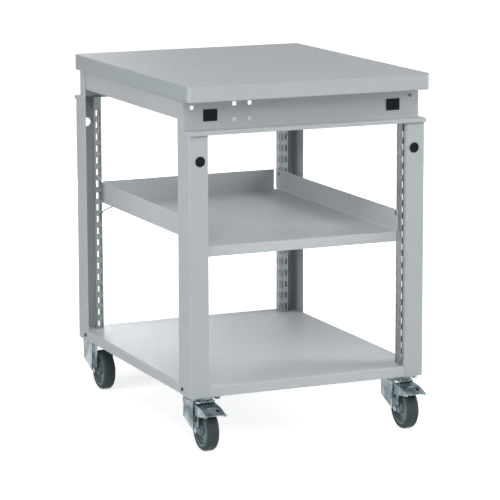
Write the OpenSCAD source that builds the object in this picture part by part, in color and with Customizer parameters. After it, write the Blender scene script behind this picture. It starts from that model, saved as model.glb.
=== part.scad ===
// Single-shelf utility cart on four swivel casters.
// A folded sheet frame carries a laminated worktop, an adjustable shelf tray and a base tray.
// X runs to the right, Y to the back and Z up from the floor, in millimetres.
// The origin is on the floor, under the middle of the whole cart.

/* [Frame] */
// Width over the uprights
frame_w = 600; // [500:10:800]
// Depth over the uprights
frame_d = 750; // [650:10:1000]
// Height of the worktop's upper face above the floor
bench_h = 854; // [820:1:950]
// Thickness of the folded sheet
sheet = 1.5; // [1:0.25:2]
// Radius of the sheet's middle line in a fold
fold_r = 2.75; // [2:0.25:3.5]

/* [Worktop] */
// Thickness of the board
top_t = 38; // [25:1:45]
// How far the board stands out over each side of the frame
top_over_side = 7.5; // [0:0.5:20]
// How far the board stands out over the front of the frame
top_over_front = 14.5; // [10:0.5:30]
// How far the board's rear edge stays inside the back of the frame
top_inset_rear = 13.5; // [0:0.5:30]
// Radius of the board's upright corners
top_corner_r = 12; // [6:1:25]
// Radius of the board's upper edges
top_edge_r = 2; // [1:0.5:4]

/* [Uprights] */
// Width of an upright's front or rear face
web_w = 47.5; // [40:0.5:60]
// Depth of an upright's side face
side_d = 69; // [60:1:90]
// Depth of the flange folded back along the inner edge
return_d = 14; // [10:1:20]
// Diameter of the round hole near the top of each face
web_hole_d = 22; // [16:1:26]
// Distance of that hole from the outer edge
web_hole_in = 27.5; // [24:0.5:28]
// Distance of that hole below the end beam
web_hole_drop = 68.5; // [40:0.5:120]
// Distance of the side holes from the outer corner
side_hole_in = 50; // [45:1:55]

/* [End beams] */
// Height from the beam's seat on the uprights to the worktop
beam_h = 69; // [60:1:90]
// How far the beam's face lies behind the frame's outer face
beam_recess = 35; // [25:1:45]
// How far the beam's lip stands out from the uprights
lip_out = 6; // [4:0.5:10]
// Height of the lip
lip_h = 10; // [8:1:20]
// Depth of the flange under the worktop
top_flange = 25; // [20:1:40]
// Width of a socket cut-out
port_w = 33; // [25:1:40]
// Height of a socket cut-out
port_h = 25.5; // [20:0.5:30]
// Distance of a socket cut-out from the beam's end
port_in = 67.2; // [60:0.1:90]
// Height of a socket cut-out above the seat
port_up = 32.3; // [25:0.1:40]
// Diameter of the cable hole near each end
cable_hole_d = 9.5; // [6:0.5:12]
// Distance of the cable hole from the beam's end
cable_hole_in = 22; // [15:1:30]
// Height of the cable hole above the seat
cable_hole_up = 51.5; // [45:0.5:55]
// Side of the square holes
square_hole = 9.5; // [6:0.5:12]
// Distance of the first square hole from the beam's end
square_hole_in = 127.7; // [110:0.1:150]
// Distance between the square holes
square_hole_step = 38.3; // [30:0.1:50]
// Height of the open square holes above the seat
square_hole_up = 56; // [48:1:58]
// Height of the blind square marks above the seat
square_mark_up = 20; // [15:1:30]

/* [Side beams] */
// Height of the side beam
side_beam_h = 47; // [40:1:60]
// Depth of its lower flange
side_beam_foot = 15; // [10:1:25]

/* [Slotted rails] */
// How far the rail stands inside the upright's inner edge
rail_step_in = 5; // [4:0.5:10]
// Depth of the rail's inner face
rail_d = 29; // [25:1:35]
// Width of the rail's cross face
rail_w = 20.5; // [16:0.5:25]
// Pitch of the slots
slot_pitch = 30; // [20:5:50]
// Height of the long slots
long_slot = 19; // [14:1:22]
// Height of the short slots
short_slot = 15; // [10:1:18]
// Width of the bearing slots
bold_slot_w = 6; // [5.4:0.1:6.4]
// Width of the narrow slots
fine_slot_w = 2.8; // [2:0.2:4]

/* [Shelf tray] */
// Height of the tray's floor above the ground
shelf_z = 476; // [350:1:560]
// Height of the side and rear walls above the floor
shelf_wall = 51.5; // [40:0.5:80]
// Drop of the front lip below the floor's upper face
shelf_lip = 24.5; // [15:0.5:40]
// Distance of the tray's front from the frame's front
shelf_front_in = 31; // [25:1:31]
// Distance of the tray's rear wall from the frame's rear
shelf_rear_in = 19; // [17:1:40]
// Gap between the tray's wall and the rail
shelf_gap = 0.5; // [0.3:0.1:1]
// Open slit at each rear corner of the tray
shelf_slit = 7.5; // [4:0.5:12]

/* [Base tray] */
// Height of the base tray
base_h = 25; // [22:1:40]
// Thickness of the caster bearers under the tray
bearer_t = 2; // [1.5:0.5:3]

/* [Casters] */
// Wheel diameter
wheel_d = 100; // [90:1:105]
// Width of the tyre
wheel_w = 30; // [26:1:32]
// Radial thickness of the tyre
tyre_t = 10; // [9:1:14]
// Radius of the tyre's shoulders
shoulder_r = 8; // [3:0.5:8]
// Height of the frame's underside above the top of the wheels
caster_rise = 27; // [26:1:40]
// Distance from the swivel axis to the axle
trail = 28; // [26:1:32]
// Distance of the swivel axis from the frame's side
king_in_x = 42; // [40:0.5:50]
// Distance of the swivel axis from the frame's front or rear
king_in_y = 37.5; // [37.5:0.5:45]
// Width over the fork's legs
fork_w = 56; // [54:1:60]
// Thickness of the fork's sheet
fork_t = 3; // [2.5:0.5:3.5]
// How far the legs are pressed in beside the wheel
leg_inset = 5.5; // [4:0.5:6]
// Radius of the fork's crown behind the swivel axis
crown_r = 54; // [50:1:58]
// Thickness of the mounting plate
plate_t = 3; // [2.5:0.5:4]
// Width of the mounting plate
plate_w = 80; // [78:1:82]
// Depth of the mounting plate
plate_d = 65; // [60:1:66]
// Spacing of the plate bolts across the cart
bolt_step_x = 60; // [58:1:61]
// Spacing of the plate bolts along the cart
bolt_step_y = 42; // [40:1:43]
// Diameter of the swivel pin
king_d = 12; // [10:1:12]
// Diameter of the race's balls
ball_d = 5; // [4.5:0.25:5.5]
// Number of balls in a race
ball_count = 16; // [8:1:18]
// Diameter of the axle's sleeve
sleeve_d = 12; // [11:1:14]
// Radial running clearance of pins in their holes
run_gap = 0.05; // [0.02:0.01:0.09]

/* [Brakes] */
// Distance of the pedal's front edge ahead of the swivel axis
pedal_reach = 102; // [98:1:110]
// Thickness of the pedal's sheet
pedal_t = 2; // [1.5:0.25:2.5]
// Angle by which the pedal is pressed down to close the brake
brake_turn = 12; // [8:1:12]

/* [Hidden] */
$fn = 64;

paint = [0.70, 0.72, 0.73];
laminate = [0.68, 0.70, 0.71];
galvanised = [0.52, 0.55, 0.55];
zinc = [0.75, 0.77, 0.79];
black = [0.07, 0.08, 0.08];
rubber = [0.20, 0.22, 0.22];
hub_grey = [0.42, 0.47, 0.50];

// Amount by which a cutter passes the faces that it cuts
past = 1;

// Half sizes and the heights of the frame
half_w = frame_w / 2;
half_d = frame_d / 2;
top_z = bench_h - top_t;
seat_z = top_z - beam_h;
caster_h = wheel_d + caster_rise;
base_z = caster_h + base_h;
base_x = half_w - sheet;
base_y = half_d - sheet;
beam_web_y = half_d - beam_recess;
side_hole_y = half_d - side_hole_in;
foot_screw_z = caster_h + base_h / 2 + 0.5;
tab_slot_z = seat_z + 11;
tab_slot = [5, 8];

// The rails stand just inside the uprights
rail_x = half_w - web_w - rail_step_in;
rail_y = half_d - return_d - rail_d;
rail_fold_r = sheet;
rail_fold_out = rail_fold_r + sheet / 2;
first_slot_z = base_z + 13;
fine_slot_y = rail_y + 23;
cross_fine_x = rail_x + 5.2;
cross_bold_x = rail_x + 14.5;
rail_tab_d = 20;
rail_screw_x = rail_x + 12;
rail_screw_y = rail_y + 15;

// The shelf tray between the rails
shelf_x = rail_x - shelf_gap;
shelf_front = half_d - shelf_front_in;
shelf_rear = half_d - shelf_rear_in;
shelf_screw_z = shelf_z + shelf_wall - 9.5;

// Screws: thread diameters, head sizes and the gap of a plain hole
m5 = 5;
m6 = 6;
m8 = 8;
hole_gap = 0.2;
screw_head_h = 3;
bolt_head_h = 5.3;
nut_h = 6.5;
m8_flats = 13;
m6_flats = 10;
m5_flats = 8;
seat_gap = 0.05;

// The bearing slots stand so close to the cross face that the nuts just clear the fold
bold_slot_y = rail_y + rail_fold_out + m5_flats / 2 + seat_gap;

// Clearance of a piece that is pushed into the fold of another sheet
fold_clear = fold_r - sheet / 2 + 0.1;

// Caster heights, from the wheel up to the plate
axle_z = wheel_d / 2;
plate_z = caster_h - plate_t;
crown_z = plate_z - 8;
crown_under = crown_z - fork_t;
race_r = 21;
race_boss_r = 27;
race_gap = 0.3;
race_z = crown_z + 1.2;
race_boss_z = crown_z + 2.4;
king_x = half_w - king_in_x;
king_y = half_d - king_in_y;
plate_x = half_w - 2 * sheet - 0.5 - plate_w / 2;
plate_y = king_y;
bearer_y = king_y;
bearer_d = 2 * (half_d - 2 * sheet - fold_clear - bearer_y);
leg_in = fork_w / 2 - fork_t;
strip_out = fork_w / 2 - leg_inset;
strip_in = strip_out - fork_t;
boss_r = 7.5;
hub_half = strip_in - 3;
rim_r = axle_z - tyre_t;

// Brake: the pivot above the axle, the bends of the pedal and its half width
step_y = -15.5;
brake_pin_d = 5;
brake_pin = [-trail, crown_z - 18];
pedal_start = [step_y - 1.5, crown_z - 6];
pedal_fold = [-trail - 29, crown_z - 10];
pedal_end = [14 - pedal_reach, crown_z - 20];
pedal_tip = [-pedal_reach - 5, crown_z - 15.5];
cheek_in = strip_out + 0.4;
cheek_out = cheek_in + pedal_t;

// The origin lies midway between the pedals' front tips and the rear crowns
origin_y = (pedal_reach + 4 - crown_r) / 2;

// Geometry helpers
function unit(v) = v / norm(v);
function left_of(v) = [-v.y, v.x];
function joined(a, b) = (a + b) / (1 + a * b);
function side_at(path, i) = let(last = len(path) - 1)
    i == 0 ? left_of(unit(path[1] - path[0]))
    : i == last ? left_of(unit(path[last] - path[last - 1]))
    : joined(left_of(unit(path[i] - path[i - 1])), left_of(unit(path[i + 1] - path[i])));
function strip(path, t) = concat(path,
    [for (i = [len(path) - 1 : -1 : 0]) path[i] + t * side_at(path, i)]);
function tangent(p, c, r, side) = let(a = atan2(p.y - c.y, p.x - c.x), b = acos(r / norm(p - c)))
    c + r * [cos(a + side * b), sin(a + side * b)];

// Moves a piece from the frame's own middle to the origin of the cart
module placed() translate([0, origin_y, 0]) children();

// Draws a piece of the rear right corner in the corner with the given signs
module corner(sx, sy) placed() scale_sign(sx, sy) children();
module scale_sign(sx, sy) mirror([sx < 0 ? 1 : 0, 0, 0]) mirror([0, sy < 0 ? 1 : 0, 0]) children();

// Section of a sheet folded at right angles along its middle line
module folded(path, t, r) {
    last = len(path) - 1;
    ways = [for (i = [0 : last - 1]) unit(path[i + 1] - path[i])];
    for (i = [0 : last - 1]) {
        a = path[i] + (i > 0 ? r : 0) * ways[i];
        b = path[i + 1] - (i < last - 1 ? r : 0) * ways[i];
        translate(a)
            rotate(atan2(ways[i].y, ways[i].x))
                translate([0, -t / 2])
                    square([norm(b - a), t]);
    }
    for (i = [1 : last - 1]) {
        reach = r + t / 2;
        translate(path[i] - r * ways[i - 1] + r * ways[i])
            intersection() {
                difference() {
                    circle(reach);
                    circle(r - t / 2);
                }
                polygon([[0, 0], reach * ways[i - 1], reach * (ways[i - 1] - ways[i]), -reach * ways[i]]);
            }
    }
}

// Extrudes a section drawn in Y and Z along X, between two places
module along_x(from, to) translate([from, 0, 0]) rotate([90, 0, 90]) linear_extrude(to - from) children();

// Extrudes a section drawn in X and Z along Y, between two places
module along_y(from, to) translate([0, to, 0]) rotate([90, 0, 0]) linear_extrude(to - from) children();

// Rectangle whose two upper corners are rounded
module eased_profile(w, h, r) {
    translate([-w / 2, 0]) square([w, h - r]);
    translate([-w / 2 + r, 0]) square([w - 2 * r, h]);
    for (s = [-1, 1]) translate([s * (w / 2 - r), h - r]) circle(r);
}

// Block whose upper edges are rounded, standing on Z = 0
module eased_block(w, d, h, r) {
    intersection() {
        along_x(-w / 2, w / 2) eased_profile(d, h, r);
        along_y(-d / 2, d / 2) eased_profile(w, h, r);
    }
}

// Rectangle with four rounded corners
module rounded_plan(w, d, r) {
    square([w - 2 * r, d], center = true);
    square([w, d - 2 * r], center = true);
    for (x = [-1, 1], y = [-1, 1]) translate([x * (w / 2 - r), y * (d / 2 - r)]) circle(r);
}

// Hexagonal head or nut on Z = 0
module hexagon(flats, h) cylinder(d = flats / cos(30), h = h, $fn = 6);

// Button-head screw: the head stands on Z = 0 and the shank goes down
module button_screw(d, length) {
    cylinder(d1 = 2 * d, d2 = 1.3 * d, h = screw_head_h);
    translate([0, 0, -length]) cylinder(d = d, h = length + 0.5);
}

// Hexagonal nut with its thread bored out
module nut(d, flats, h) difference() {
    hexagon(flats, h);
    translate([0, 0, -past]) cylinder(d = d + 2 * run_gap, h = h + 2 * past);
}

// Cutter for a hole through a face that looks along X or along Y
module hole_x(d, x, y, z) translate([x - 10, y, z]) rotate([0, 90, 0]) cylinder(d = d, h = 20);
module hole_y(d, x, y, z) translate([x, y + 10, z]) rotate([90, 0, 0]) cylinder(d = d, h = 20);

// Worktop board, held by screws driven up through the beams' top flanges
worktop_size = [frame_w + 2 * top_over_side, frame_d + top_over_front - top_inset_rear];
worktop_shift = -(top_over_front + top_inset_rear) / 2;
top_screw_x = 0.7 * half_w;
top_screw_y = beam_web_y - sheet - 14;
top_screw_deep = 18;

module worktop() color(laminate) placed() difference() {
    translate([0, worktop_shift, top_z]) intersection() {
        eased_block(worktop_size.x, worktop_size.y, top_t, top_edge_r);
        linear_extrude(top_t) rounded_plan(worktop_size.x, worktop_size.y, top_corner_r);
    }
    for (x = [-1, 0, 1], y = [-1, 1])
        translate([x * top_screw_x, y * top_screw_y, top_z - past])
            cylinder(d = m5 + hole_gap, h = top_screw_deep + hole_gap + past);
}

module worktop_screws() color(zinc) placed()
    for (x = [-1, 0, 1], y = [-1, 1])
        translate([x * top_screw_x, y * top_screw_y, top_z - sheet])
            rotate([180, 0, 0])
                button_screw(m5, sheet + top_screw_deep);

// End beam drawn at the back: lip, seat flange, recessed face and top flange from one sheet
beam_lip_y = half_d + lip_out - sheet / 2;
beam_face_y = beam_web_y - sheet / 2;
beam_end_cut = top_flange + sheet + past;
fold_out = fold_r + sheet / 2;

module beam_section() folded([
    [beam_lip_y, seat_z + sheet - lip_h],
    [beam_lip_y, seat_z + sheet / 2],
    [beam_face_y, seat_z + sheet / 2],
    [beam_face_y, top_z - sheet / 2],
    [beam_face_y - top_flange, top_z - sheet / 2]], sheet, fold_r);

module end_beam() difference() {
    along_x(-half_w, half_w) beam_section();
    for (s = [-1, 1]) {
        translate([s * half_w - beam_end_cut, beam_web_y - sheet - 2 * top_flange, top_z - fold_out - past])
            cube([2 * beam_end_cut, 2 * top_flange, fold_out + 2 * past]);
        translate([s * (half_w - port_in) - port_w / 2, beam_face_y - 5, seat_z + port_up - port_h / 2])
            cube([port_w, 10, port_h]);
        hole_y(cable_hole_d, s * (half_w - cable_hole_in), beam_face_y, seat_z + cable_hole_up);
        translate([s * rail_screw_x, rail_screw_y, seat_z - past])
            cylinder(d = m5 + hole_gap, h = sheet + 2 * past);
    }
    for (x = [-1, 0, 1])
        translate([x * top_screw_x, top_screw_y, top_z - sheet - past])
            cylinder(d = m5 + hole_gap, h = sheet + 2 * past);
    for (i = [0, 1]) translate([half_w - square_hole_in - i * square_hole_step - square_hole / 2, 0, 0]) {
        translate([0, beam_face_y - 5, seat_z + square_hole_up - square_hole / 2])
            cube([square_hole, 10, square_hole]);
        translate([0, beam_face_y, seat_z + square_mark_up - square_hole / 2])
            cube([square_hole, sheet, square_hole]);
    }
}

module front_beam() color(paint) placed() rotate([0, 0, 180]) end_beam();
module rear_beam() color(paint) placed() end_beam();

// Side beam behind the uprights' upper tabs, with a foot flange and a top flange
side_beam_x = half_w - 1.5 * sheet;
side_beam_z = top_z - side_beam_h;

module side_beam(sx) color(paint) placed() scale_sign(sx, 1)
    along_y(sheet - beam_web_y, beam_web_y - sheet)
        folded([
            [side_beam_x - side_beam_foot, side_beam_z + sheet / 2],
            [side_beam_x, side_beam_z + sheet / 2],
            [side_beam_x, top_z - sheet / 2],
            [side_beam_x - top_flange, top_z - sheet / 2]], sheet, fold_r);

module left_side_beam() side_beam(-1);
module right_side_beam() side_beam(1);

// Plastic covers clipped into the four socket cut-outs
cover_rim = 0.75;
cover_wall = 1.5;
cover_depth = 10;
cover_fit = 0.25;

module port_cover() {
    w = port_w - 2 * cover_fit;
    h = port_h - 2 * cover_fit;
    along_y(0, cover_wall) square([port_w + 2 * cover_rim, port_h + 2 * cover_rim], center = true);
    along_y(-cover_depth, 0) difference() {
        square([w, h], center = true);
        square([w - 2 * cover_wall, h - 2 * cover_wall], center = true);
    }
}

module port_covers() color(black)
    for (sx = [-1, 1], sy = [-1, 1])
        corner(sx, sy)
            translate([half_w - port_in, beam_web_y, seat_z + port_up])
                port_cover();

// Upright: side flange, face and inner return, with a tab that runs up behind the end beam
return_x = half_w - web_w;

module upright(sx, sy) color(paint) corner(sx, sy) difference() {
    union() {
        translate([0, 0, caster_h]) linear_extrude(seat_z - caster_h) folded([
            [half_w - sheet / 2, half_d - side_d],
            [half_w - sheet / 2, half_d - sheet / 2],
            [return_x + sheet / 2, half_d - sheet / 2],
            [return_x + sheet / 2, half_d - return_d]], sheet, fold_r);
        translate([half_w - sheet, half_d - side_d, seat_z - past])
            cube([sheet, side_d - beam_recess - sheet, beam_h + past]);
    }
    translate([return_x - past, half_d - return_d - past, caster_h - past])
        cube([fold_out + past, return_d + past - sheet, base_h + past]);
    hole_y(web_hole_d, half_w - web_hole_in, half_d, seat_z - web_hole_drop);
    hole_x(m6 + hole_gap, half_w, side_hole_y, foot_screw_z);
    translate([half_w - 5, side_hole_y - tab_slot.x / 2, tab_slot_z - tab_slot.y / 2])
        cube([10, tab_slot.x, tab_slot.y]);
}

module upright_front_left() upright(-1, -1);
module upright_front_right() upright(1, -1);
module upright_rear_left() upright(-1, 1);
module upright_rear_right() upright(1, 1);

// Plugs in the holes of the two front uprights
plug_rim = 1.25;
plug_depth = 8;

module upright_plugs() color(black)
    for (sx = [-1, 1])
        corner(sx, -1)
            translate([half_w - web_hole_in, half_d, seat_z - web_hole_drop])
                rotate([-90, 0, 0]) difference() {
                    union() {
                        cylinder(d1 = web_hole_d + 2 * plug_rim, d2 = web_hole_d, h = cover_wall);
                        translate([0, 0, -plug_depth]) cylinder(d = web_hole_d - hole_gap, h = plug_depth + 0.5);
                    }
                    translate([0, 0, -plug_depth - past])
                        cylinder(d = web_hole_d - 2 * cover_wall, h = plug_depth + past);
                }

// Slotted rail: an angle with two rows of slots in each face and a fixing tab at each end
slot_count = floor((seat_z - first_slot_z - long_slot) / slot_pitch);

module slot_row(x, y, size) {
    for (i = [0 : slot_count])
        translate([x, y, first_slot_z + i * slot_pitch])
            cube(size, center = true);
}

module slotted_rail(sx, sy) color(galvanised) corner(sx, sy) difference() {
    union() {
        translate([0, 0, base_z]) linear_extrude(seat_z - base_z) folded([
            [rail_x + sheet / 2, half_d - return_d],
            [rail_x + sheet / 2, rail_y + sheet / 2],
            [rail_x + rail_w, rail_y + sheet / 2]], sheet, rail_fold_r);
        for (z = [base_z, seat_z - sheet])
            translate([rail_x + rail_fold_out, rail_y + sheet / 2, z])
                cube([rail_w - rail_fold_out, rail_tab_d - sheet / 2, sheet]);
    }
    slot_row(rail_x, bold_slot_y, [4 * sheet, bold_slot_w, long_slot]);
    slot_row(rail_x, fine_slot_y, [4 * sheet, fine_slot_w, short_slot]);
    slot_row(cross_fine_x, rail_y, [fine_slot_w, 4 * sheet, long_slot]);
    slot_row(cross_bold_x, rail_y, [bold_slot_w, 4 * sheet, short_slot]);
    for (z = [base_z, seat_z])
        translate([rail_screw_x, rail_screw_y, z - 2 * sheet])
            cylinder(d = m5 + hole_gap, h = 4 * sheet);
}

module slotted_rail_front_left() slotted_rail(-1, -1);
module slotted_rail_front_right() slotted_rail(1, -1);
module slotted_rail_rear_left() slotted_rail(-1, 1);
module slotted_rail_rear_right() slotted_rail(1, 1);

module rail_screws() color(zinc)
    for (sx = [-1, 1], sy = [-1, 1])
        corner(sx, sy) translate([rail_screw_x, rail_screw_y, 0]) {
            translate([0, 0, base_z + sheet]) button_screw(m5, 10);
            translate([0, 0, seat_z - sheet]) rotate([180, 0, 0]) button_screw(m5, 2 * sheet);
        }

// Shelf tray: a floor with side walls, a rear wall and a front lip that is turned down
shelf_mid = shelf_z - sheet / 2;
shelf_top = shelf_z + shelf_wall;
shelf_stop = shelf_rear + 3;
lead_stud = [-(shelf_x - 11), rail_y - 45];

module shelf_tray() color(paint) placed() difference() {
    union() {
        along_y(fold_out - shelf_front, shelf_rear - fold_out) folded([
            [sheet / 2 - shelf_x, shelf_top],
            [sheet / 2 - shelf_x, shelf_mid],
            [shelf_x - sheet / 2, shelf_mid],
            [shelf_x - sheet / 2, shelf_top]], sheet, fold_r);
        for (s = [-1, 1])
            translate([s * (shelf_x - sheet / 2) - sheet / 2, -shelf_front, shelf_z + 2])
                cube([sheet, shelf_front + shelf_stop, shelf_wall - 2]);
        along_x(fold_out - shelf_x, shelf_x - fold_out) folded([
            [-shelf_front + 3 * fold_out, shelf_mid],
            [-shelf_front + sheet / 2, shelf_mid],
            [-shelf_front + sheet / 2, shelf_z - shelf_lip]], sheet, fold_r);
        along_x(sheet + shelf_slit - shelf_x, shelf_x - sheet - shelf_slit) folded([
            [shelf_rear - 3 * fold_out, shelf_mid],
            [shelf_rear - sheet / 2, shelf_mid],
            [shelf_rear - sheet / 2, shelf_top]], sheet, fold_r);
    }
    for (s = [-1, 1], y = [-1, 1])
        hole_x(m5 + hole_gap, s * shelf_x, y * bold_slot_y, shelf_screw_z);
}

// Shelf screws through the tray's walls and the rails' bearing slots, with nuts behind
module shelf_screws() color(zinc)
    for (sx = [-1, 1], sy = [-1, 1])
        corner(sx, sy) translate([0, bold_slot_y, shelf_screw_z]) {
            translate([shelf_x - sheet, 0, 0]) rotate([0, -90, 0]) button_screw(m5, 9);
            translate([rail_x + sheet, 0, 0]) rotate([0, 90, 0]) nut(m5, m5_flats, 4);
        }

// Earth lead from a stud under the tray to the face of the rear left rail
lead_d = 3;
lead_end = [-(rail_x + 10.5), rail_y, shelf_z - 30];
lead_route = [
    [lead_stud.x - 4, lead_stud.y, shelf_z - sheet - 3],
    [-(shelf_x + 3), lead_stud.y + 3, shelf_z - 9],
    [-(shelf_x + 8), lead_stud.y + 12, shelf_z - 14],
    [-(shelf_x + 10), lead_stud.y + 26, shelf_z - 23],
    [lead_end.x, lead_stud.y + 36, shelf_z - 28],
    [lead_end.x, lead_end.y - 3, lead_end.z]];

module earth_lead() color(black) placed() {
    for (i = [0 : len(lead_route) - 2])
        hull() {
            translate(lead_route[i]) sphere(d = lead_d, $fn = 12);
            translate(lead_route[i + 1]) sphere(d = lead_d, $fn = 12);
        }
    translate([lead_stud.x, lead_stud.y, shelf_z - sheet]) rotate([180, 0, 0]) {
        cylinder(d = m8 + 2, h = 1.5);
        cylinder(d = m6, h = 4.5);
    }
    translate(lead_end) rotate([90, 0, 0]) {
        cylinder(d = m8 + 2, h = 1.5);
        cylinder(d = m6, h = 4.5);
    }
}

// Base tray: a sheet with four skirts, screwed between the feet of the uprights
module base_tray() color(paint) placed() difference() {
    translate([0, 0, caster_h]) difference() {
        intersection() {
            eased_block(2 * base_x, 2 * base_y, base_h, fold_out);
            linear_extrude(base_h) rounded_plan(2 * base_x, 2 * base_y, fold_clear);
        }
        translate([0, 0, -past])
            eased_block(2 * base_x - 2 * sheet, 2 * base_y - 2 * sheet, base_h - sheet + past, fold_r - sheet / 2);
    }
    for (sx = [-1, 1], sy = [-1, 1]) {
        hole_x(m6 + hole_gap, sx * base_x, sy * side_hole_y, foot_screw_z);
        translate([sx * rail_screw_x, sy * rail_screw_y, base_z - 2 * sheet])
            cylinder(d = m5 + hole_gap, h = 3 * sheet);
    }
}

module base_screws() color(zinc)
    for (sx = [-1, 1], sy = [-1, 1])
        corner(sx, sy) translate([0, side_hole_y, foot_screw_z]) {
            translate([half_w, 0, 0]) rotate([0, 90, 0]) button_screw(m6, 12);
            translate([half_w - 2 * sheet, 0, 0]) rotate([0, -90, 0]) nut(m6, m6_flats, 5);
        }

// Caster bearer: a channel under the base sheet that takes the caster plates
bearer_x = half_w - 2 * sheet - fold_clear;
king_head_d = 20;

module caster_bearer(sy) color(paint) placed() scale_sign(1, sy) difference() {
    along_x(-bearer_x, bearer_x) folded([
        [bearer_y - bearer_d / 2 + bearer_t / 2, base_z - sheet],
        [bearer_y - bearer_d / 2 + bearer_t / 2, caster_h + bearer_t / 2],
        [bearer_y + bearer_d / 2 - bearer_t / 2, caster_h + bearer_t / 2],
        [bearer_y + bearer_d / 2 - bearer_t / 2, base_z - sheet]], bearer_t, fold_r);
    for (sx = [-1, 1]) {
        translate([sx * king_x, king_y, caster_h - past])
            cylinder(d = king_head_d + 4, h = bearer_t + 2 * past);
        translate([sx * plate_x, plate_y, caster_h - past]) plate_holes(bearer_t + 2 * past);
    }
}

module plate_holes(h) {
    for (x = [-1, 1], y = [-1, 1])
        translate([x * bolt_step_x / 2, y * bolt_step_y / 2, 0])
            cylinder(d = m8 + 2 * hole_gap, h = h);
}

module front_caster_bearer() caster_bearer(-1);
module rear_caster_bearer() caster_bearer(1);

// Hexagon bolts from below, with nuts on the bearer's web
module caster_bolts() color(zinc)
    for (sx = [-1, 1], sy = [-1, 1], x = [-1, 1], y = [-1, 1])
        corner(sx, sy) translate([plate_x + x * bolt_step_x / 2, plate_y + y * bolt_step_y / 2, 0]) {
            translate([0, 0, plate_z - bolt_head_h]) hexagon(m8_flats, bolt_head_h);
            translate([0, 0, plate_z - 0.5]) cylinder(d = m8, h = plate_t + bearer_t + nut_h + 1.5);
            translate([0, 0, caster_h + bearer_t]) nut(m8, m8_flats, nut_h);
        }

// Mounting plate with chamfered corners and the upper half of the ball race below it
plate_chamfer = 9;

module groove() translate([0, 0, race_z])
    rotate_extrude() translate([race_r, 0]) circle(d = ball_d + 2 * race_gap);

module caster_plate(sx, sy) color(zinc) corner(sx, sy) difference() {
    union() {
        translate([plate_x, plate_y, plate_z]) linear_extrude(plate_t) difference() {
            square([plate_w, plate_d], center = true);
            for (x = [-1, 1], y = [-1, 1])
                translate([x * plate_w / 2, y * plate_d / 2])
                    rotate(45)
                        square(plate_chamfer * sqrt(2), center = true);
        }
        translate([king_x, king_y, race_boss_z]) cylinder(r = race_boss_r, h = plate_z - race_boss_z + 0.5);
    }
    translate([plate_x, plate_y, plate_z - past]) plate_holes(plate_t + 2 * past);
    translate([king_x, king_y, race_boss_z - past])
        cylinder(d = king_d + hole_gap, h = caster_h - race_boss_z + 2 * past);
    translate([king_x, king_y, 0]) groove();
}

module caster_plate_front_left() caster_plate(-1, -1);
module caster_plate_front_right() caster_plate(1, -1);
module caster_plate_rear_left() caster_plate(-1, 1);
module caster_plate_rear_right() caster_plate(1, 1);

// Puts a caster's piece at its swivel axis; at rest every wheel trails to the front
module at_caster(sx, sy) placed() translate([sx * king_x, sy * king_y, 0]) children();

// Swivel pin riveted over the plate and under the crown
module swivel_pin(sx, sy) color(zinc) at_caster(sx, sy) {
    translate([0, 0, crown_under - race_gap - 5]) cylinder(d1 = king_d + 2, d2 = king_d + 6, h = 5);
    translate([0, 0, crown_under - race_gap - 1]) cylinder(d = king_d, h = caster_h + 2 + race_gap - crown_under);
    translate([0, 0, caster_h]) cylinder(d1 = king_head_d, d2 = king_head_d - 4, h = 4);
}

module swivel_pin_front_left() swivel_pin(-1, -1);
module swivel_pin_front_right() swivel_pin(1, -1);
module swivel_pin_rear_left() swivel_pin(-1, 1);
module swivel_pin_rear_right() swivel_pin(1, 1);

module ball_race(sx, sy) color(zinc) at_caster(sx, sy)
    for (i = [1 : ball_count])
        rotate(i * 360 / ball_count)
            translate([race_r, 0, race_z])
                sphere(d = ball_d);

module ball_race_front_left() ball_race(-1, -1);
module ball_race_front_right() ball_race(1, -1);
module ball_race_rear_left() ball_race(-1, 1);
module ball_race_rear_right() ball_race(1, 1);

// Fork: a pressed channel whose legs step in ahead of the swivel axis and run down to the axle
axle = [-trail, axle_z];
leg_rear = crown_r - 10;
knee_z = axle_z + 20;
crown_skirt = 12;
touch_r = boss_r - 0.05;
leg_front = axle.x - touch_r;
strip_top = brake_pin.y + 6;

module fork_ring(w, inner_w) difference() {
    eased_profile(w, crown_z, 1.5 * fork_t);
    translate([0, -past]) eased_profile(inner_w, crown_under + past, fork_t / 2);
}

module fork_shell() {
    along_y(step_y + fork_t - past, crown_r + past) fork_ring(fork_w, 2 * leg_in);
    along_y(step_y, step_y + fork_t) fork_ring(fork_w, 2 * strip_in);
    along_y(leg_front - past, step_y + past) fork_ring(2 * strip_out, 2 * strip_in);
}

// Side view of the fork; with a brake its front strips end below the pedal
module fork_outline(braked) {
    rear_touch = tangent([leg_rear, knee_z], axle, touch_r, -1);
    front_edge = braked
        ? [[leg_front, strip_top - 4], [leg_front + 4, strip_top], [step_y, strip_top], [step_y, crown_z]]
        : [[leg_front, crown_z]];
    along_x(-fork_w, fork_w)
        polygon(concat([[leg_rear, crown_z], [leg_rear, knee_z], rear_touch, axle, [leg_front, axle_z]], front_edge));
    along_x(-fork_w, fork_w) translate([0, crown_z - crown_skirt]) square([crown_r, crown_skirt]);
    along_x(-fork_w, fork_w) translate(axle) circle(boss_r);
}

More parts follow.
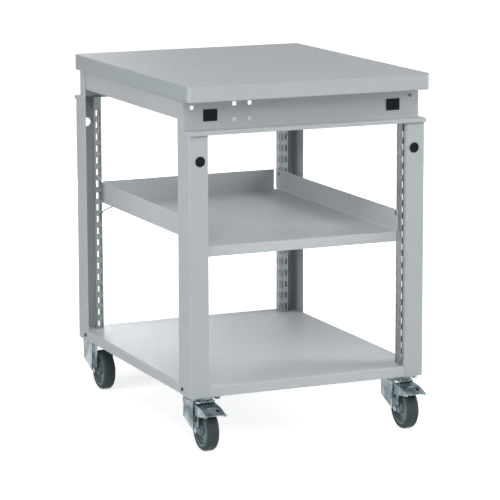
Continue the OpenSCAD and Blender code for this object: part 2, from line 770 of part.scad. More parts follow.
module fork(sx, sy) color(zinc) at_caster(sx, sy) difference() {
    union() {
        intersection() {
            fork_shell();
            fork_outline(sy < 0);
            union() {
                cylinder(r = crown_r, h = caster_h);
                translate([-fork_w, -pedal_reach, 0]) cube([2 * fork_w, pedal_reach, caster_h]);
            }
        }
        intersection() {
            translate([0, 0, crown_under]) cylinder(r = race_boss_r, h = fork_t);
            translate([-fork_w, step_y + past - fork_w, 0]) cube([2 * fork_w, fork_w, caster_h]);
        }
    }
    translate([0, 0, crown_under - past]) cylinder(d = king_d + 2 * run_gap, h = fork_t + 2 * past);
    groove();
    along_x(-fork_w, fork_w) translate(axle) circle(d = m8 + hole_gap);
    if (sy < 0) along_x(-fork_w, fork_w) translate(brake_pin) circle(d = brake_pin_d + hole_gap);
}

module fork_front_left() fork(-1, -1);
module fork_front_right() fork(1, -1);
module fork_rear_left() fork(-1, 1);
module fork_rear_right() fork(1, 1);

// Axle: a bolt and its nut through the legs, and the sleeve on which the hub runs
module axle_set(sx, sy) color(zinc) at_caster(sx, sy) translate([0, axle.x, axle.y]) rotate([0, 90, 0]) {
    translate([0, 0, -strip_out - bolt_head_h]) hexagon(m8_flats, bolt_head_h);
    translate([0, 0, -strip_out - 0.5]) cylinder(d = m8, h = 2 * strip_out + nut_h + 2);
    translate([0, 0, strip_out]) nut(m8, m8_flats, nut_h);
    difference() {
        union() {
            translate([0, 0, -strip_in]) cylinder(d = sleeve_d, h = 2 * strip_in);
            for (s = [-1, 1])
                translate([0, 0, s * (strip_in + hub_half + race_gap) / 2])
                    cylinder(d = sleeve_d + 6, h = strip_in - hub_half - race_gap, center = true);
        }
        translate([0, 0, -strip_in - past]) cylinder(d = m8 + hole_gap, h = 2 * strip_in + 2 * past);
    }
}

module axle_front_left() axle_set(-1, -1);
module axle_front_right() axle_set(1, -1);
module axle_rear_left() axle_set(-1, 1);
module axle_rear_right() axle_set(1, 1);

// Turns a section of radius and width about the axle
module wheel_body(sx, sy) at_caster(sx, sy)
    translate([0, axle.x, axle.y])
        rotate([0, 90, 0])
            rotate_extrude()
                children();

// Wheel hub: barrel, dished web with a raised ring, and rim
barrel_r = sleeve_d / 2 + 7;
rim_half = wheel_w / 2 - 1.5;
ring_r = (barrel_r + rim_r) / 2 + 3;

module wheel_hub(sx, sy) color(hub_grey) wheel_body(sx, sy) {
    translate([sleeve_d / 2 + run_gap, -hub_half]) square([7 - run_gap, 2 * hub_half]);
    polygon([[barrel_r - 1, -8], [rim_r - 4, -4], [rim_r - 4, 4], [barrel_r - 1, 8]]);
    translate([ring_r - 1.5, -rim_half + 4]) square([3, 2 * rim_half - 8]);
    translate([rim_r - 5, -rim_half]) square([5, 2 * rim_half]);
}

module wheel_hub_front_left() wheel_hub(-1, -1);
module wheel_hub_front_right() wheel_hub(1, -1);
module wheel_hub_rear_left() wheel_hub(-1, 1);
module wheel_hub_rear_right() wheel_hub(1, 1);

// Tyre: a solid rubber tread with rounded shoulders, moulded round the rim
module tyre(sx, sy) color(rubber) wheel_body(sx, sy) {
    translate([rim_r, -wheel_w / 2]) square([tyre_t - shoulder_r, wheel_w]);
    translate([rim_r, shoulder_r - wheel_w / 2]) square([tyre_t, wheel_w - 2 * shoulder_r]);
    for (s = [-1, 1])
        intersection() {
            translate([axle_z - shoulder_r, s * (wheel_w / 2 - shoulder_r)]) circle(shoulder_r);
            translate([rim_r, -wheel_w / 2]) square([tyre_t, wheel_w]);
        }
}

module tyre_front_left() tyre(-1, -1);
module tyre_front_right() tyre(1, -1);
module tyre_rear_left() tyre(-1, 1);
module tyre_rear_right() tyre(1, 1);

// Brake pedal: a bent tread plate whose two cheeks turn on rivets in the fork's strips
pedal_slope = (pedal_start.y - pedal_fold.y) / (pedal_start.x - pedal_fold.x);
tip_cut = -pedal_reach - 4;
tip_corner = 5;
pedal_slot = [7, 14];
pedal_slot_at = [11.5, pedal_fold.x - 12];
bead_half = 9;
bead_r = 1.7;

function pedal_top(y) = pedal_start.y + (y - pedal_start.x) * pedal_slope;

module pedal_plan() {
    polygon([[-cheek_out, 0], [-cheek_out, tip_cut + tip_corner], [tip_corner - cheek_out, tip_cut],
        [cheek_out - tip_corner, tip_cut], [cheek_out, tip_cut + tip_corner], [cheek_out, 0]]);
}

module pedal_cheek() difference() {
    polygon([pedal_start - [0, pedal_t / 2], pedal_fold - [0, pedal_t / 2], pedal_end - [0, pedal_t / 2],
        pedal_end - [1, 5], [axle.x - 8, brake_pin.y - 14.5], [axle.x + 8, brake_pin.y - 12]]);
    translate(brake_pin) circle(d = brake_pin_d + 2 * run_gap);
}

module brake_pedal(sx) color(zinc) at_caster(sx, -1) {
    difference() {
        intersection() {
            along_x(-cheek_out, cheek_out) polygon(strip([pedal_start, pedal_fold, pedal_end, pedal_tip], pedal_t));
            linear_extrude(caster_h) pedal_plan();
        }
        translate([pedal_slot_at.x, pedal_slot_at.y, axle_z])
            linear_extrude(caster_h)
                square(pedal_slot, center = true);
    }
    along_x(-bead_half, bead_half) translate(pedal_fold - [0, 0.2]) circle(bead_r);
    for (s = [-1, 1])
        translate([s * (cheek_in + pedal_t / 2) - pedal_t / 2, 0, 0])
            along_x(0, pedal_t) pedal_cheek();
}

module brake_pedal_front_left() brake_pedal(-1);
module brake_pedal_front_right() brake_pedal(1);

// Two rivets, each with a head inside the strip and one outside the pedal's cheek
rivet_head_d = brake_pin_d + 4;
rivet_head_h = 1.5;
rivet_play = 0.2;

module brake_rivets(sx) color(zinc) at_caster(sx, -1)
    for (s = [-1, 1])
        translate([0, brake_pin.x, brake_pin.y]) rotate([0, s * 90, 0]) {
            translate([0, 0, strip_in - rivet_head_h]) cylinder(d = rivet_head_d, h = rivet_head_h);
            translate([0, 0, strip_in - 0.5]) cylinder(d = brake_pin_d, h = cheek_out + rivet_play + 1 - strip_in);
            translate([0, 0, cheek_out + rivet_play])
                cylinder(d1 = rivet_head_d, d2 = brake_pin_d, h = rivet_head_h);
        }

module brake_pin_front_left() brake_rivets(-1);
module brake_pin_front_right() brake_rivets(1);

// Brake shoe under the pedal, hollowed to the tyre's circle in the closed position
shoe_w = 20;
shoe_from = axle.x - 16;
shoe_to = axle.x - 27;
shoe_play = 0.4;

module brake_shoe(sx) color(rubber) at_caster(sx, -1)
    along_x(-shoe_w / 2, shoe_w / 2) difference() {
        drop = pedal_t * sqrt(1 + pedal_slope * pedal_slope);
        polygon([[shoe_from, axle_z], [shoe_from, pedal_top(shoe_from) - drop],
            [shoe_to, pedal_top(shoe_to) - drop], [shoe_to, axle_z]]);
        translate(brake_pin) rotate(-brake_turn) translate(axle - brake_pin) circle(axle_z + shoe_play, $fn = 360);
    }

module brake_shoe_front_left() brake_shoe(-1);
module brake_shoe_front_right() brake_shoe(1);

worktop();
worktop_screws();
front_beam();
rear_beam();
left_side_beam();
right_side_beam();
port_covers();
upright_front_left();
upright_front_right();
upright_rear_left();
upright_rear_right();
upright_plugs();
slotted_rail_front_left();
slotted_rail_front_right();
slotted_rail_rear_left();
slotted_rail_rear_right();
rail_screws();
shelf_tray();
shelf_screws();
earth_lead();
base_tray();
base_screws();
front_caster_bearer();
rear_caster_bearer();
caster_bolts();
caster_plate_front_left();
caster_plate_front_right();
caster_plate_rear_left();
caster_plate_rear_right();
swivel_pin_front_left();
swivel_pin_front_right();
swivel_pin_rear_left();
swivel_pin_rear_right();
ball_race_front_left();
ball_race_front_right();
ball_race_rear_left();
ball_race_rear_right();
fork_front_left();
fork_front_right();
fork_rear_left();
fork_rear_right();
axle_front_left();
axle_front_right();
axle_rear_left();
axle_rear_right();
wheel_hub_front_left();
wheel_hub_front_right();
wheel_hub_rear_left();
wheel_hub_rear_right();
tyre_front_left();
tyre_front_right();
tyre_rear_left();
tyre_rear_right();
brake_pedal_front_left();
brake_pedal_front_right();
brake_pin_front_left();
brake_pin_front_right();
brake_shoe_front_left();
brake_shoe_front_right();
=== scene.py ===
import math
import bmesh
import bpy
from mathutils import Matrix, Vector


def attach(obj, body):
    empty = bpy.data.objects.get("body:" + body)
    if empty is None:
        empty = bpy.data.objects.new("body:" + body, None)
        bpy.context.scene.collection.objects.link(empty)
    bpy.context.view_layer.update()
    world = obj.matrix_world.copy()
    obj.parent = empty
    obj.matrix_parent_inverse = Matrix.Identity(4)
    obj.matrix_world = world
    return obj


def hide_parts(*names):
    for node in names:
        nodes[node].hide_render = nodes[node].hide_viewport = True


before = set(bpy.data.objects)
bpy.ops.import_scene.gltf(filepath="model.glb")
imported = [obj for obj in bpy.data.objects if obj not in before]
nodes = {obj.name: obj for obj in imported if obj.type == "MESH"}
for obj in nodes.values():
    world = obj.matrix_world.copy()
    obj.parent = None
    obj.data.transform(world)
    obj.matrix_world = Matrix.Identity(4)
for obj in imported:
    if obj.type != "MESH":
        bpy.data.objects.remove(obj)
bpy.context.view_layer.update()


# Uprights, end beams and side beams: the welded cabinet frame, folded from 1.5 mm steel sheet and
# powder coated light grey. The coat is satin, with the fine orange peel of sprayed and baked powder.
# Each end beam has two blind square marks below its open square holes.
frame_grey = [0.445, 0.475, 0.492]
frame_edge_highlight = [0.60, 0.62, 0.63]
dust_grey = [0.56, 0.57, 0.56]
mark_grey = [0.64, 0.68, 0.69]
mark_places = [0.1723, 0.134]
mark_height = 0.767
mark_half = 0.0047


def node_in(tree, kind, **settings):
    made = tree.nodes.new(kind)
    for key, value in settings.items():
        setattr(made, key, value)
    return made


def feed(tree, value, target):
    "links a socket to the target, or sets a number or a colour on it"
    if isinstance(value, bpy.types.NodeSocket):
        tree.links.new(value, target)
    elif target.type == "RGBA":
        target.default_value = [*value, 1]
    else:
        target.default_value = value


def fill(tree, made, values):
    for key, value in values.items():
        feed(tree, value, made.inputs[key])


def object_place(tree):
    return node_in(tree, "ShaderNodeTexCoord").outputs["Object"]


def true_normal(tree):
    return node_in(tree, "ShaderNodeNewGeometry").outputs["Normal"]


def split(tree, vector):
    made = node_in(tree, "ShaderNodeSeparateXYZ")
    feed(tree, vector, made.inputs[0])
    return made.outputs


def calc(tree, operation, *values):
    made = node_in(tree, "ShaderNodeMath", operation=operation)
    for value, target in zip(values, made.inputs):
        feed(tree, value, target)
    return made.outputs[0]


def measure(tree, operation, *vectors):
    made = node_in(tree, "ShaderNodeVectorMath", operation=operation)
    for vector, target in zip(vectors, made.inputs):
        feed(tree, vector, target)
    return made.outputs["Value"]


def mix_colours(tree, factor, first, second):
    "the first colour where the factor is 0 and the second where it is 1"
    factor_in, first_in, second_in, colour_out = 0, 6, 7, 2
    made = node_in(tree, "ShaderNodeMix", data_type="RGBA")
    fill(tree, made, {factor_in: factor, first_in: first, second_in: second})
    return made.outputs[colour_out]


def ranged(tree, value, low, high, to_low, to_high):
    made = node_in(tree, "ShaderNodeMapRange")
    fill(tree, made, {"Value": value, "From Min": low, "From Max": high,
                      "To Min": to_low, "To Max": to_high})
    return made.outputs["Result"]


def noise(tree, place, scale, detail=2.0):
    made = node_in(tree, "ShaderNodeTexNoise")
    fill(tree, made, {"Vector": place, "Scale": scale, "Detail": detail})
    return made.outputs["Fac"]


def clouded(tree, place, scale, detail, low=0.0, high=1.0, spread=0.2):
    "noise that runs from low to high, where its own values lie within the spread round a half"
    return ranged(tree, noise(tree, place, scale, detail), 0.5 - spread, 0.5 + spread, low, high)


def new_group(name, inputs, outputs):
    group = bpy.data.node_groups.new(name, "ShaderNodeTree")
    for label, kind, value in inputs:
        sock = group.interface.new_socket(name=label, in_out="INPUT", socket_type=kind)
        sock.default_value = value
    for label, kind in outputs:
        group.interface.new_socket(name=label, in_out="OUTPUT", socket_type=kind)
    return group, group.nodes.new("NodeGroupInput"), group.nodes.new("NodeGroupOutput")


def edge_group():
    """mask of the outer edges, from the difference between the true and a rounded normal; the materials
    lighten their edges by it, as wear and as a painted highlight
    """
    group, start, end = new_group("edge wear and painted highlight",
                                  [("Width", "NodeSocketFloat", 0.001), ("Scale", "NodeSocketFloat", 60.0)],
                                  [("Mask", "NodeSocketFloat"), ("Normal", "NodeSocketVector")])
    still_flat, full_edge = 0.98, 0.80
    noise_low, noise_high, least_edge = 0.35, 0.65, 0.35
    soft = node_in(group, "ShaderNodeBevel", samples=4)
    feed(group, start.outputs["Width"], soft.inputs["Radius"])
    alike = measure(group, "DOT_PRODUCT", soft.outputs[0], true_normal(group))
    edge = ranged(group, alike, still_flat, full_edge, 0.0, 1.0)
    grain = noise(group, object_place(group), start.outputs["Scale"])
    patchy = ranged(group, grain, noise_low, noise_high, least_edge, 1.0)
    fill(group, end, {"Mask": calc(group, "MULTIPLY", edge, patchy), "Normal": soft.outputs[0]})
    return group


def dust_group():
    "thin dust that settles on faces that look up"
    group, start, end = new_group("settled dust",
                                  [("Scale", "NodeSocketFloat", 9.0), ("Amount", "NodeSocketFloat", 0.2)],
                                  [("Mask", "NodeSocketFloat")])
    steep, level_face, least_dust = 0.2, 1.0, 0.15
    cloud = noise(group, object_place(group), start.outputs["Scale"], detail=5.0)
    facing = ranged(group, split(group, true_normal(group))["Z"], steep, level_face, least_dust, 1.0)
    lying = calc(group, "MULTIPLY", facing, cloud)
    feed(group, calc(group, "MULTIPLY", lying, start.outputs["Amount"]), end.inputs["Mask"])
    return group


# The edge mask lightens edges as wear and as a painted highlight along folds and corners.
edge_wear_and_highlight = edge_group()
settled_dust = dust_group()


def use_group(tree, group, **values):
    made = node_in(tree, "ShaderNodeGroup", node_tree=group)
    fill(tree, made, values)
    return made.outputs


def finish_of(name, metallic=0.0, specular=0.25):
    made = bpy.data.materials.new(name)
    made.use_nodes = True
    shader = made.node_tree.nodes["Principled BSDF"]
    fill(made.node_tree, shader, {"Metallic": metallic, "Specular IOR Level": specular})
    return made, made.node_tree, shader


def relief(tree, height, strength, normal):
    "a shallow bump over the rounded normal of the edges"
    depth = 0.0002
    made = node_in(tree, "ShaderNodeBump")
    fill(tree, made, {"Strength": strength, "Distance": depth, "Height": height, "Normal": normal})
    return made.outputs["Normal"]


def toned(colour, gain):
    return [c * gain for c in colour]


def square_marks(tree, place):
    "mask of the two marks, the same on both beams when each is seen from its outside"
    along = split(tree, place)
    across = calc(tree, "MULTIPLY", along["X"], calc(tree, "SIGN", along["Y"]))
    at_height = calc(tree, "COMPARE", along["Z"], mark_height, mark_half)
    first, second = [calc(tree, "COMPARE", across, middle, mark_half) for middle in mark_places]
    return calc(tree, "MULTIPLY", calc(tree, "MAXIMUM", first, second), at_height)


def powder_coat(name, colour, edge_highlight_colour, marked=False):
    made, tree, shader = finish_of(name)
    place = object_place(tree)
    cloud = clouded(tree, place, scale=3.5, detail=3.0)
    tone = mix_colours(tree, cloud, toned(colour, 0.975), toned(colour, 1.015))
    edges = use_group(tree, edge_wear_and_highlight, Width=0.0011, Scale=45.0)
    # Lighter edges: edge wear and a painted highlight along the folds.
    tone = mix_colours(tree, edges["Mask"], tone, edge_highlight_colour)
    if marked:
        tone = mix_colours(tree, square_marks(tree, place), tone, mark_grey)
    dust = use_group(tree, settled_dust, Scale=7.0, Amount=0.16)
    orange_peel = noise(tree, place, scale=900.0, detail=1.0)
    fill(tree, shader, {"Base Color": mix_colours(tree, dust["Mask"], tone, dust_grey),
                        "Roughness": clouded(tree, place, scale=40.0, detail=4.0, low=0.42, high=0.54),
                        "Normal": relief(tree, orange_peel, 0.10, edges["Normal"])})
    return made


def dress(names, material):
    for name in names:
        mesh = nodes[name].data
        mesh.materials.clear()
        mesh.materials.append(material)


painted = powder_coat("painted sheet", frame_grey, frame_edge_highlight)
beam_coat = powder_coat("painted beam", frame_grey, frame_edge_highlight, marked=True)
dress(["front_beam", "rear_beam"], beam_coat)
dress(["left_side_beam", "right_side_beam", "upright_front_left", "upright_front_right",
       "upright_rear_left", "upright_rear_right"], painted)


# Worktop: a 38 mm board faced with light grey laminate, its long sides painted slightly darker as painted
# shade. The laminate's dark joint shows as a fine line below its upper face, and six screws hold the
# board from below, through the beams' top flanges.
bench_height = 0.854
joint_depth = 0.0026
joint_half = 0.00025
joint_grey = [0.33, 0.36, 0.37]
side_shade_grey = [0.375, 0.415, 0.430]
laminate_dark = [0.435, 0.468, 0.487]
laminate_light = [0.462, 0.492, 0.508]
laminate_cloud = [0.475, 0.500, 0.515]
laminate_edge_highlight = [0.52, 0.545, 0.555]


def laminate_board():
    made, tree, shader = finish_of("laminate board", specular=0.08)
    place = object_place(tree)
    fine = clouded(tree, place, scale=700.0, detail=2.0, spread=0.1)
    tone = mix_colours(tree, fine, laminate_dark, laminate_light)
    cloud = clouded(tree, place, scale=5.0, detail=4.0, high=0.35)
    tone = mix_colours(tree, cloud, tone, laminate_cloud)
    edges = use_group(tree, edge_wear_and_highlight, Width=0.0025, Scale=25.0)
    # Lighter edges: edge wear and a painted highlight on the board's corners.
    tone = mix_colours(tree, edges["Mask"], tone, laminate_edge_highlight)
    joint = calc(tree, "COMPARE", split(tree, place)["Z"], bench_height - joint_depth, joint_half)
    tone = mix_colours(tree, joint, tone, joint_grey)
    # Painted shade: the faces that look along X, the board's long sides, are darkened.
    sideways = calc(tree, "ABSOLUTE", split(tree, true_normal(tree))["X"])
    turned_away, square_on = 0.8, 0.99
    side_shade_mask = ranged(tree, sideways, turned_away, square_on, 0.0, 1.0)
    grain = noise(tree, place, scale=500.0)
    fill(tree, shader, {"Base Color": mix_colours(tree, side_shade_mask, tone, side_shade_grey),
                        "Roughness": clouded(tree, place, scale=60.0, detail=4.0, low=0.36, high=0.48),
                        "Normal": relief(tree, grain, 0.08, edges["Normal"])})
    return made


dress(["worktop"], laminate_board())


# Socket covers and upright plugs: black moulded plastic, with a faint grain from the mould. They clip
# into the beams' cut-outs and into the round holes of the front uprights.
def moulded(name, colour, rough, grain=900.0, specular=0.25):
    made, tree, shader = finish_of(name, specular=specular)
    place = object_place(tree)
    cloud = clouded(tree, place, scale=25.0, detail=3.0)
    tone = mix_colours(tree, cloud, toned(colour, 0.9), toned(colour, 1.1))
    edges = use_group(tree, edge_wear_and_highlight, Width=0.0008, Scale=80.0)
    rubbed_edge_highlight = [c + 0.02 for c in toned(colour, 1.6)]
    uneven = 0.07
    dull = clouded(tree, place, scale=120.0, detail=3.0, low=rough - uneven, high=rough + uneven)
    # Lighter edges: edge wear and a painted highlight.
    fill(tree, shader, {"Base Color": mix_colours(tree, edges["Mask"], tone, rubbed_edge_highlight),
                        "Roughness": dull,
                        "Normal": relief(tree, noise(tree, place, grain), 0.15, edges["Normal"])})
    return made


black_moulding = moulded("black moulding", [0.006, 0.008, 0.009], 0.45, specular=0.10)
dress(["port_covers", "upright_plugs"], black_moulding)


# Slotted rails: bare galvanised angles that carry the shelf, screwed inside the uprights. The zinc
# has the cloudy, faintly crystalline look of dipped strip.
corners = {"front_left": (-1, -1), "front_right": (1, -1), "rear_left": (-1, 1), "rear_right": (1, 1)}
flake_dark = [0.25, 0.28, 0.285]
flake_light = [0.38, 0.41, 0.42]
dull_patch = [0.32, 0.35, 0.36]
strip_edge_highlight = [0.5, 0.52, 0.53]


def galvanised_strip():
    made, tree, shader = finish_of("galvanised strip", metallic=0.55)
    place = object_place(tree)
    spangle = node_in(tree, "ShaderNodeTexVoronoi")
    fill(tree, spangle, {"Vector": place, "Scale": 170.0})
    cells = node_in(tree, "ShaderNodeSeparateColor")
    feed(tree, spangle.outputs["Color"], cells.inputs[0])
    flake = cells.outputs[0]
    tone = mix_colours(tree, flake, flake_dark, flake_light)
    cloud = clouded(tree, place, scale=14.0, detail=4.0, high=0.5)
    tone = mix_colours(tree, cloud, tone, dull_patch)
    edges = use_group(tree, edge_wear_and_highlight, Width=0.0006, Scale=90.0)
    grain = noise(tree, place, scale=350.0, detail=3.0)
    # Lighter edges: edge wear and a painted highlight.
    fill(tree, shader, {"Base Color": mix_colours(tree, edges["Mask"], tone, strip_edge_highlight),
                        "Roughness": ranged(tree, flake, 0.0, 1.0, 0.36, 0.55),
                        "Normal": relief(tree, grain, 0.08, edges["Normal"])})
    return made


dress([f"slotted_rail_{c}" for c in corners], galvanised_strip())


# Screws and bolts of the worktop, the rails and the casters: turned and pressed steel with a bright
# zinc plate that has a faint blue tone. The casters' pressings further down have the same plate.
zinc_dark = [0.075, 0.115, 0.128]
zinc_light = [0.385, 0.455, 0.48]
zinc_edge_highlight = [0.86, 0.88, 0.89]


def zinc_plate():
    made, tree, shader = finish_of("zinc plate", metallic=0.92, specular=0.5)
    place = object_place(tree)
    cloud = clouded(tree, place, scale=30.0, detail=1.5, spread=0.16)
    tone = mix_colours(tree, cloud, zinc_dark, zinc_light)
    edges = use_group(tree, edge_wear_and_highlight, Width=0.0008, Scale=90.0)
    grain = noise(tree, place, scale=500.0)
    # Bright edges: a painted highlight, with edge wear.
    fill(tree, shader, {"Base Color": mix_colours(tree, edges["Mask"], tone, zinc_edge_highlight),
                        "Roughness": clouded(tree, place, scale=90.0, detail=4.0, low=0.20, high=0.38),
                        "Normal": relief(tree, grain, 0.06, edges["Normal"])})
    return made


zinc = zinc_plate()
dress(["worktop_screws", "rail_screws", "caster_bolts"], zinc)


# Shelf tray: one folded and powder coated sheet. Four zinc-plated socket screws with button heads go
# through its side walls into the rails' slots, with nuts behind.
middle_y = 0.026
tray_wall_x = 0.2455
tray_slot_y = 0.3383
tray_screw_z = 0.518
hexagon, head_sides, shank_sides = 6, 40, 28
# Painted light: the shelf's coat is a lighter copy of the frame's grey, brightening the shaded shelf floor.
shelf_coat_painted_light = powder_coat("shelf coat with painted light", [0.530, 0.561, 0.582], [0.66, 0.68, 0.69])
dress(["shelf_tray"], shelf_coat_painted_light)


def add_bar(sides, radius, low, high):
    bpy.ops.object.select_all(action="DESELECT")
    bpy.ops.mesh.primitive_cylinder_add(vertices=sides, radius=radius, depth=high - low,
                                        location=(0, 0, (low + high) / 2))
    made = bpy.context.object
    bpy.ops.object.transform_apply(location=True)
    return made


def bevel_rim(piece, height, offset, segments=2):
    "rounds the rim that lies at one height"
    same_height, rim_profile = 1e-6, 0.6
    bpy.ops.object.mode_set(mode="EDIT")
    mesh = bmesh.from_edit_mesh(piece.data)
    for edge in mesh.edges:
        edge.select = all(abs(v.co.z - height) < same_height for v in edge.verts)
    bmesh.update_edit_mesh(piece.data)
    bpy.ops.mesh.bevel(offset=offset, segments=segments, profile=rim_profile)
    bpy.ops.object.mode_set(mode="OBJECT")


def cut_out(piece, cutter):
    bpy.context.view_layer.objects.active = piece
    saw = piece.modifiers.new("cut", "BOOLEAN")
    saw.operation = "DIFFERENCE"
    saw.solver = "EXACT"
    saw.object = cutter
    bpy.ops.object.modifier_apply(modifier="cut")
    bpy.data.objects.remove(cutter)


def smooth_round():
    "smooths the active piece where its faces meet at less than this angle"
    bpy.ops.object.shade_smooth_by_angle(angle=math.radians(35))


def as_one(name, pieces):
    bpy.ops.object.select_all(action="DESELECT")
    for made in pieces:
        made.select_set(True)
    bpy.context.view_layer.objects.active = pieces[0]
    bpy.ops.object.join()
    pieces[0].name = name
    pieces[0].data.name = name
    smooth_round()
    return pieces[0]


def socket_screw(name, thread, length, head_radius, nut_top, nut_flats, nut_height):
    "button head above the plane Z = 0, shank and nut below it"
    head_height, head_round, round_steps = 0.003, 0.0022, 5
    socket_radius, socket_floor, past = 0.36 * head_radius, 0.0012, 0.002
    shank_sunk, shank_chamfer, nut_chamfer = 0.0005, 0.0005, 0.0006
    head = add_bar(head_sides, head_radius, 0, head_height)
    bevel_rim(head, head_height, head_round, round_steps)
    cut_out(head, add_bar(hexagon, socket_radius, socket_floor, head_height + past))
    shank = add_bar(shank_sides, thread / 2, -length, shank_sunk)
    bevel_rim(shank, -length, shank_chamfer)
    nut_low = nut_top - nut_height
    nut = add_bar(hexagon, nut_flats / 2 / math.cos(math.pi / hexagon), nut_low, nut_top)
    bevel_rim(nut, nut_low, nut_chamfer)
    return as_one(name, [head, shank, nut])


def set_piece(model, name, turn, place, finish, node=None):
    "a copy of a modelled piece, turned and moved in its mesh, that rides on the frame"
    made = bpy.data.objects.new(name, model.data.copy())
    bpy.context.scene.collection.objects.link(made)
    made.data.name = name
    made.data.transform(Matrix.Translation(Vector(place)) @ turn)
    made.data.materials.clear()
    made.data.materials.append(finish)
    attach(made, "frame")
    if node:
        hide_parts(node)
    return made


tray_screw = socket_screw("tray_screw", thread=0.005, length=0.009, head_radius=0.005,
                          nut_top=-0.0035, nut_flats=0.008, nut_height=0.004)
for c, (sx, sy) in corners.items():
    inwards = Matrix.Rotation(math.radians(-90 * sx), 4, "Y")
    place = (tray_wall_x * sx, tray_slot_y * sy + middle_y, tray_screw_z)
    set_piece(tray_screw, f"tray_screw_{c}", inwards, place, zinc, "shelf_screws")
bpy.data.objects.remove(tray_screw)


# Earth lead: a 3 mm sleeved copper strand with a crimped ring terminal at each end. One is held on a
# stud under the tray and the other on the face of the rear left rail.
lead_diameter = 0.003
lead_steps = 6
lead_points = [(-0.240, 0.313, 0.4715), (-0.250, 0.316, 0.467), (-0.255, 0.325, 0.462),
               (-0.257, 0.339, 0.453), (-0.258, 0.349, 0.448), (-0.258, 0.355, 0.446)]
tray_stud = (-0.236, 0.313, 0.4745)
rail_stud = (-0.258, 0.358, 0.446)
ring_sides, stud_sides = 36, 24
ring_radius, ring_low, ring_top = 0.005, 0.0001, 0.0013
hole_radius, hole_past = 0.0027, 0.002
stud_radius, stud_top, stud_chamfer = 0.00255, 0.0044, 0.0004
stud_nut_radius, stud_nut_top, stud_nut_chamfer = 0.0044, 0.0038, 0.0005
crimp_radius, crimp_length, crimp_chamfer = 0.0020, 0.006, 0.0004
lead_sleeve = moulded("lead sleeve", [0.014, 0.015, 0.016], 0.5)


def smooth_line(points, steps):
    "a Catmull-Rom line through the points"
    ends = [2 * Vector(points[0]) - Vector(points[1])] + [Vector(q) for q in points]
    ends.append(2 * ends[-1] - ends[-2])
    line = []
    for i in range(1, len(ends) - 2):
        a, b, c, d = ends[i - 1:i + 3]
        for k in range(steps):
            t = k / steps
            line.append(0.5 * (2 * b + (c - a) * t + (2 * a - 5 * b + 4 * c - d) * t * t
                               + (3 * b - a - 3 * c + d) * t ** 3))
    return line + [ends[-2]]


lead_line = smooth_line(lead_points, lead_steps)
strand = bpy.data.curves.new("earth_strand", "CURVE")
strand.dimensions = "3D"
strand.bevel_depth = lead_diameter / 2
strand.bevel_resolution = 5
strand.use_fill_caps = True
spline = strand.splines.new("POLY")
spline.points.add(len(lead_line) - 1)
for point, at in zip(spline.points, lead_line):
    point.co = (*at, 1)
strand.materials.append(lead_sleeve)
earth_strand = bpy.data.objects.new("earth_strand", strand)
bpy.context.scene.collection.objects.link(earth_strand)
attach(earth_strand, "frame")
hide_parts("earth_lead")

eyelet = add_bar(ring_sides, ring_radius, ring_low, ring_top)
cut_out(eyelet, add_bar(ring_sides, hole_radius, ring_low - hole_past, ring_top + hole_past))
stud = add_bar(stud_sides, stud_radius, ring_low, stud_top)
bevel_rim(stud, stud_top, stud_chamfer)
stud_nut = add_bar(hexagon, stud_nut_radius, ring_top, stud_nut_top)
bevel_rim(stud_nut, stud_nut_top, stud_nut_chamfer)
terminal = as_one("ring_terminal", [eyelet, stud, stud_nut])
crimp = add_bar(stud_sides, crimp_radius, 0.0, crimp_length)
bevel_rim(crimp, crimp_length, crimp_chamfer)
smooth_round()
for name, turn, place in (("tray", Matrix.Rotation(math.pi, 4, "X"), tray_stud),
                          ("rail", Matrix.Rotation(math.pi / 2, 4, "X"), rail_stud)):
    set_piece(terminal, f"ring_terminal_{name}", turn, place, zinc)
for name, first, second in (("tray", lead_line[0], lead_line[3]), ("rail", lead_line[-1], lead_line[-4])):
    along = (second - first).to_track_quat("Z", "Y").to_matrix().to_4x4()
    set_piece(crimp, f"crimp_{name}", along, first, zinc)
for model in (terminal, crimp):
    bpy.data.objects.remove(model)


# Base tray and caster bearers: folded and powder coated sheet between the feet of the uprights.
# Black socket screws with nuts hold it through the uprights' side faces.
side_face_x = 0.300
side_hole_y = 0.325
foot_screw_z = 0.140
oxide_dark = [0.020, 0.021, 0.023]
oxide_light = [0.05, 0.051, 0.054]
oxide_edge_highlight = [0.16, 0.16, 0.165]
# Painted light: the tray's coat is a lighter copy of the frame's grey, brightening the shaded base floor
# and bearers.
tray_coat_painted_light = powder_coat("tray coat with painted light", [0.495, 0.525, 0.545], [0.64, 0.66, 0.67])
dress(["base_tray", "front_caster_bearer", "rear_caster_bearer"], tray_coat_painted_light)


def black_oxide():
    made, tree, shader = finish_of("black oxide", metallic=0.6, specular=0.4)
    place = object_place(tree)
    grain = noise(tree, place, scale=300.0, detail=3.0)
    tone = mix_colours(tree, grain, oxide_dark, oxide_light)
    edges = use_group(tree, edge_wear_and_highlight, Width=0.0004, Scale=200.0)
    # Lighter edges: edge wear and a painted highlight.
    fill(tree, shader, {"Base Color": mix_colours(tree, edges["Mask"], tone, oxide_edge_highlight),
                        "Roughness": clouded(tree, place, scale=200.0, detail=3.0, low=0.42, high=0.58)})
    return made


oxide = black_oxide()
foot_screw = socket_screw("foot_screw", thread=0.006, length=0.012, head_radius=0.0046,
                          nut_top=-0.003, nut_flats=0.010, nut_height=0.005)
for c, (sx, sy) in corners.items():
    outwards = Matrix.Rotation(math.radians(90 * sx), 4, "Y")
    place = (side_face_x * sx, side_hole_y * sy + middle_y, foot_screw_z)
    set_piece(foot_screw, f"foot_screw_{c}", outwards, place, oxide, "base_screws")
bpy.data.objects.remove(foot_screw)


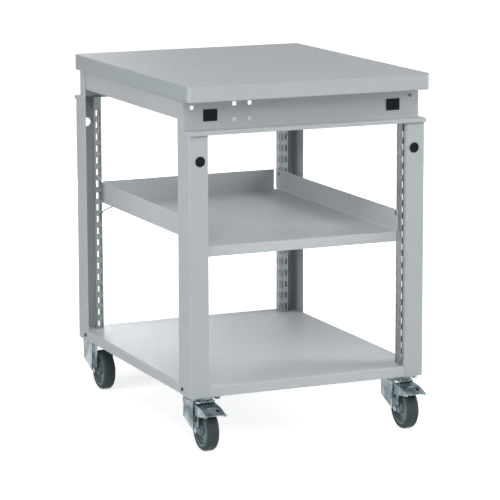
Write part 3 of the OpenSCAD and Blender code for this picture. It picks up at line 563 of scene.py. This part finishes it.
# Casters: pressed and zinc-plated plate, fork and pedal, held by pins and an axle, with a race of
# polished balls under the plate. The hub is moulded in blue-grey plastic, the tyre is dark solid
# rubber, and the front casters' brake shoes are black rubber.
ball_dark = [0.55, 0.56, 0.58]
ball_light = [0.7, 0.71, 0.73]


def polished_steel():
    made, tree, shader = finish_of("polished balls", metallic=1.0)
    grain = noise(tree, object_place(tree), scale=200.0)
    fill(tree, shader, {"Base Color": mix_colours(tree, grain, ball_dark, ball_light),
                        "Roughness": 0.15})
    return made


steel_balls = polished_steel()
hub_plastic = moulded("hub plastic", [0.150, 0.205, 0.220], 0.42, grain=600.0)
tyre_rubber = moulded("tyre rubber", [0.037, 0.051, 0.053], 0.62, grain=450.0)
shoe_rubber = moulded("shoe rubber", [0.015, 0.016, 0.016], 0.7, grain=450.0)
for c in corners:
    dress([f"caster_plate_{c}", f"swivel_pin_{c}", f"fork_{c}", f"axle_{c}"], zinc)
    dress([f"ball_race_{c}"], steel_balls)
    dress([f"wheel_hub_{c}"], hub_plastic)
    dress([f"tyre_{c}"], tyre_rubber)
    if c.startswith("front"):
        dress([f"brake_pedal_{c}", f"brake_pin_{c}"], zinc)
        dress([f"brake_shoe_{c}"], shoe_rubber)


# Studio: a plain white floor and world, with six soft lamps round the cart. The camera and mirroring
# faces see the world at full white and the floor with a glow of its own, weak near the cart, where
# its shadow shows, and strong far off. The camera stands where the photograph was taken from.
white = [1, 1, 1]
floor_dark = [0.88, 0.88, 0.88]
floor_light = [0.91, 0.91, 0.91]
floor_size = 40
near_glow, far_glow = 0.62, 1.1
glow_starts, glow_full = 1.0, 4.0
lamp_aim = Vector((0, 0, 0.45))
broad_lamp, small_lamp = 2.5, 0.8
photo_width = 500
focal_pixels = 2635.85
yaw, pitch, roll = math.radians(23.6069), math.radians(10.4767), math.radians(-0.1606)
eye = Vector((-2.54129, -5.82134, 1.57011))
sensor_width = 36.0
far_clip = 100


def seen_or_mirrored(tree):
    "1 for rays of the camera and of reflections"
    rays = node_in(tree, "ShaderNodeLightPath").outputs
    return calc(tree, "MAXIMUM", rays["Is Camera Ray"], rays["Is Glossy Ray"])


def glowing_floor():
    made, tree, shader = finish_of("studio floor", specular=0.1)
    place = object_place(tree)
    far_off = measure(tree, "LENGTH", place)
    glow = ranged(tree, far_off, glow_starts, glow_full, near_glow, far_glow)
    cloud = noise(tree, place, scale=1.5)
    fill(tree, shader, {"Base Color": mix_colours(tree, cloud, floor_dark, floor_light),
                        "Roughness": 0.9,
                        "Emission Color": white,
                        "Emission Strength": calc(tree, "MULTIPLY", seen_or_mirrored(tree), glow)})
    return made


bpy.ops.mesh.primitive_plane_add(size=floor_size, location=(0, 0, 0))
floor = bpy.context.object
floor.name = "studio_floor"
floor.data.materials.append(glowing_floor())

world = bpy.data.worlds.new("studio light")
bpy.context.scene.world = world
world.use_nodes = True
fill(world.node_tree, world.node_tree.nodes["Background"],
     {"Color": white, "Strength": seen_or_mirrored(world.node_tree)})


def area_light(name, place, size, watts):
    data = bpy.data.lights.new(name, "AREA")
    data.size = size
    data.energy = watts
    lamp = bpy.data.objects.new(name, data)
    bpy.context.scene.collection.objects.link(lamp)
    lamp.location = place
    lamp.rotation_euler = (lamp_aim - Vector(place)).to_track_quat("-Z", "Y").to_euler()


area_light("front", (-1.5, -4.0, 2.0), broad_lamp, watts=22)
area_light("high front", (-1.5, -3.5, 3.5), broad_lamp, watts=104)
area_light("left", (-4.0, -1.0, 1.8), broad_lamp, watts=69)
area_light("right", (4.0, -1.0, 1.8), broad_lamp, watts=160)
area_light("back", (0, 4.0, 2.0), broad_lamp, watts=36)
area_light("low back", (0.9, 3.6, 0.45), small_lamp, watts=21)

ahead = Vector((math.sin(yaw) * math.cos(pitch), math.cos(yaw) * math.cos(pitch), -math.sin(pitch)))
level = Vector((math.cos(yaw), -math.sin(yaw), 0))
upward = level.cross(ahead)
across = math.cos(roll) * level + math.sin(roll) * upward
raised = -math.sin(roll) * level + math.cos(roll) * upward
lens = bpy.data.cameras.new("camera")
camera = bpy.data.objects.new("camera", lens)
bpy.context.scene.collection.objects.link(camera)
turn = Matrix((across, raised, -ahead)).transposed().to_4x4()
camera.matrix_world = Matrix.Translation(eye) @ turn
lens.sensor_width = sensor_width
lens.lens = focal_pixels / photo_width * sensor_width
lens.clip_end = far_clip
bpy.context.scene.camera = camera
bpy.context.scene.view_settings.view_transform = "Standard"
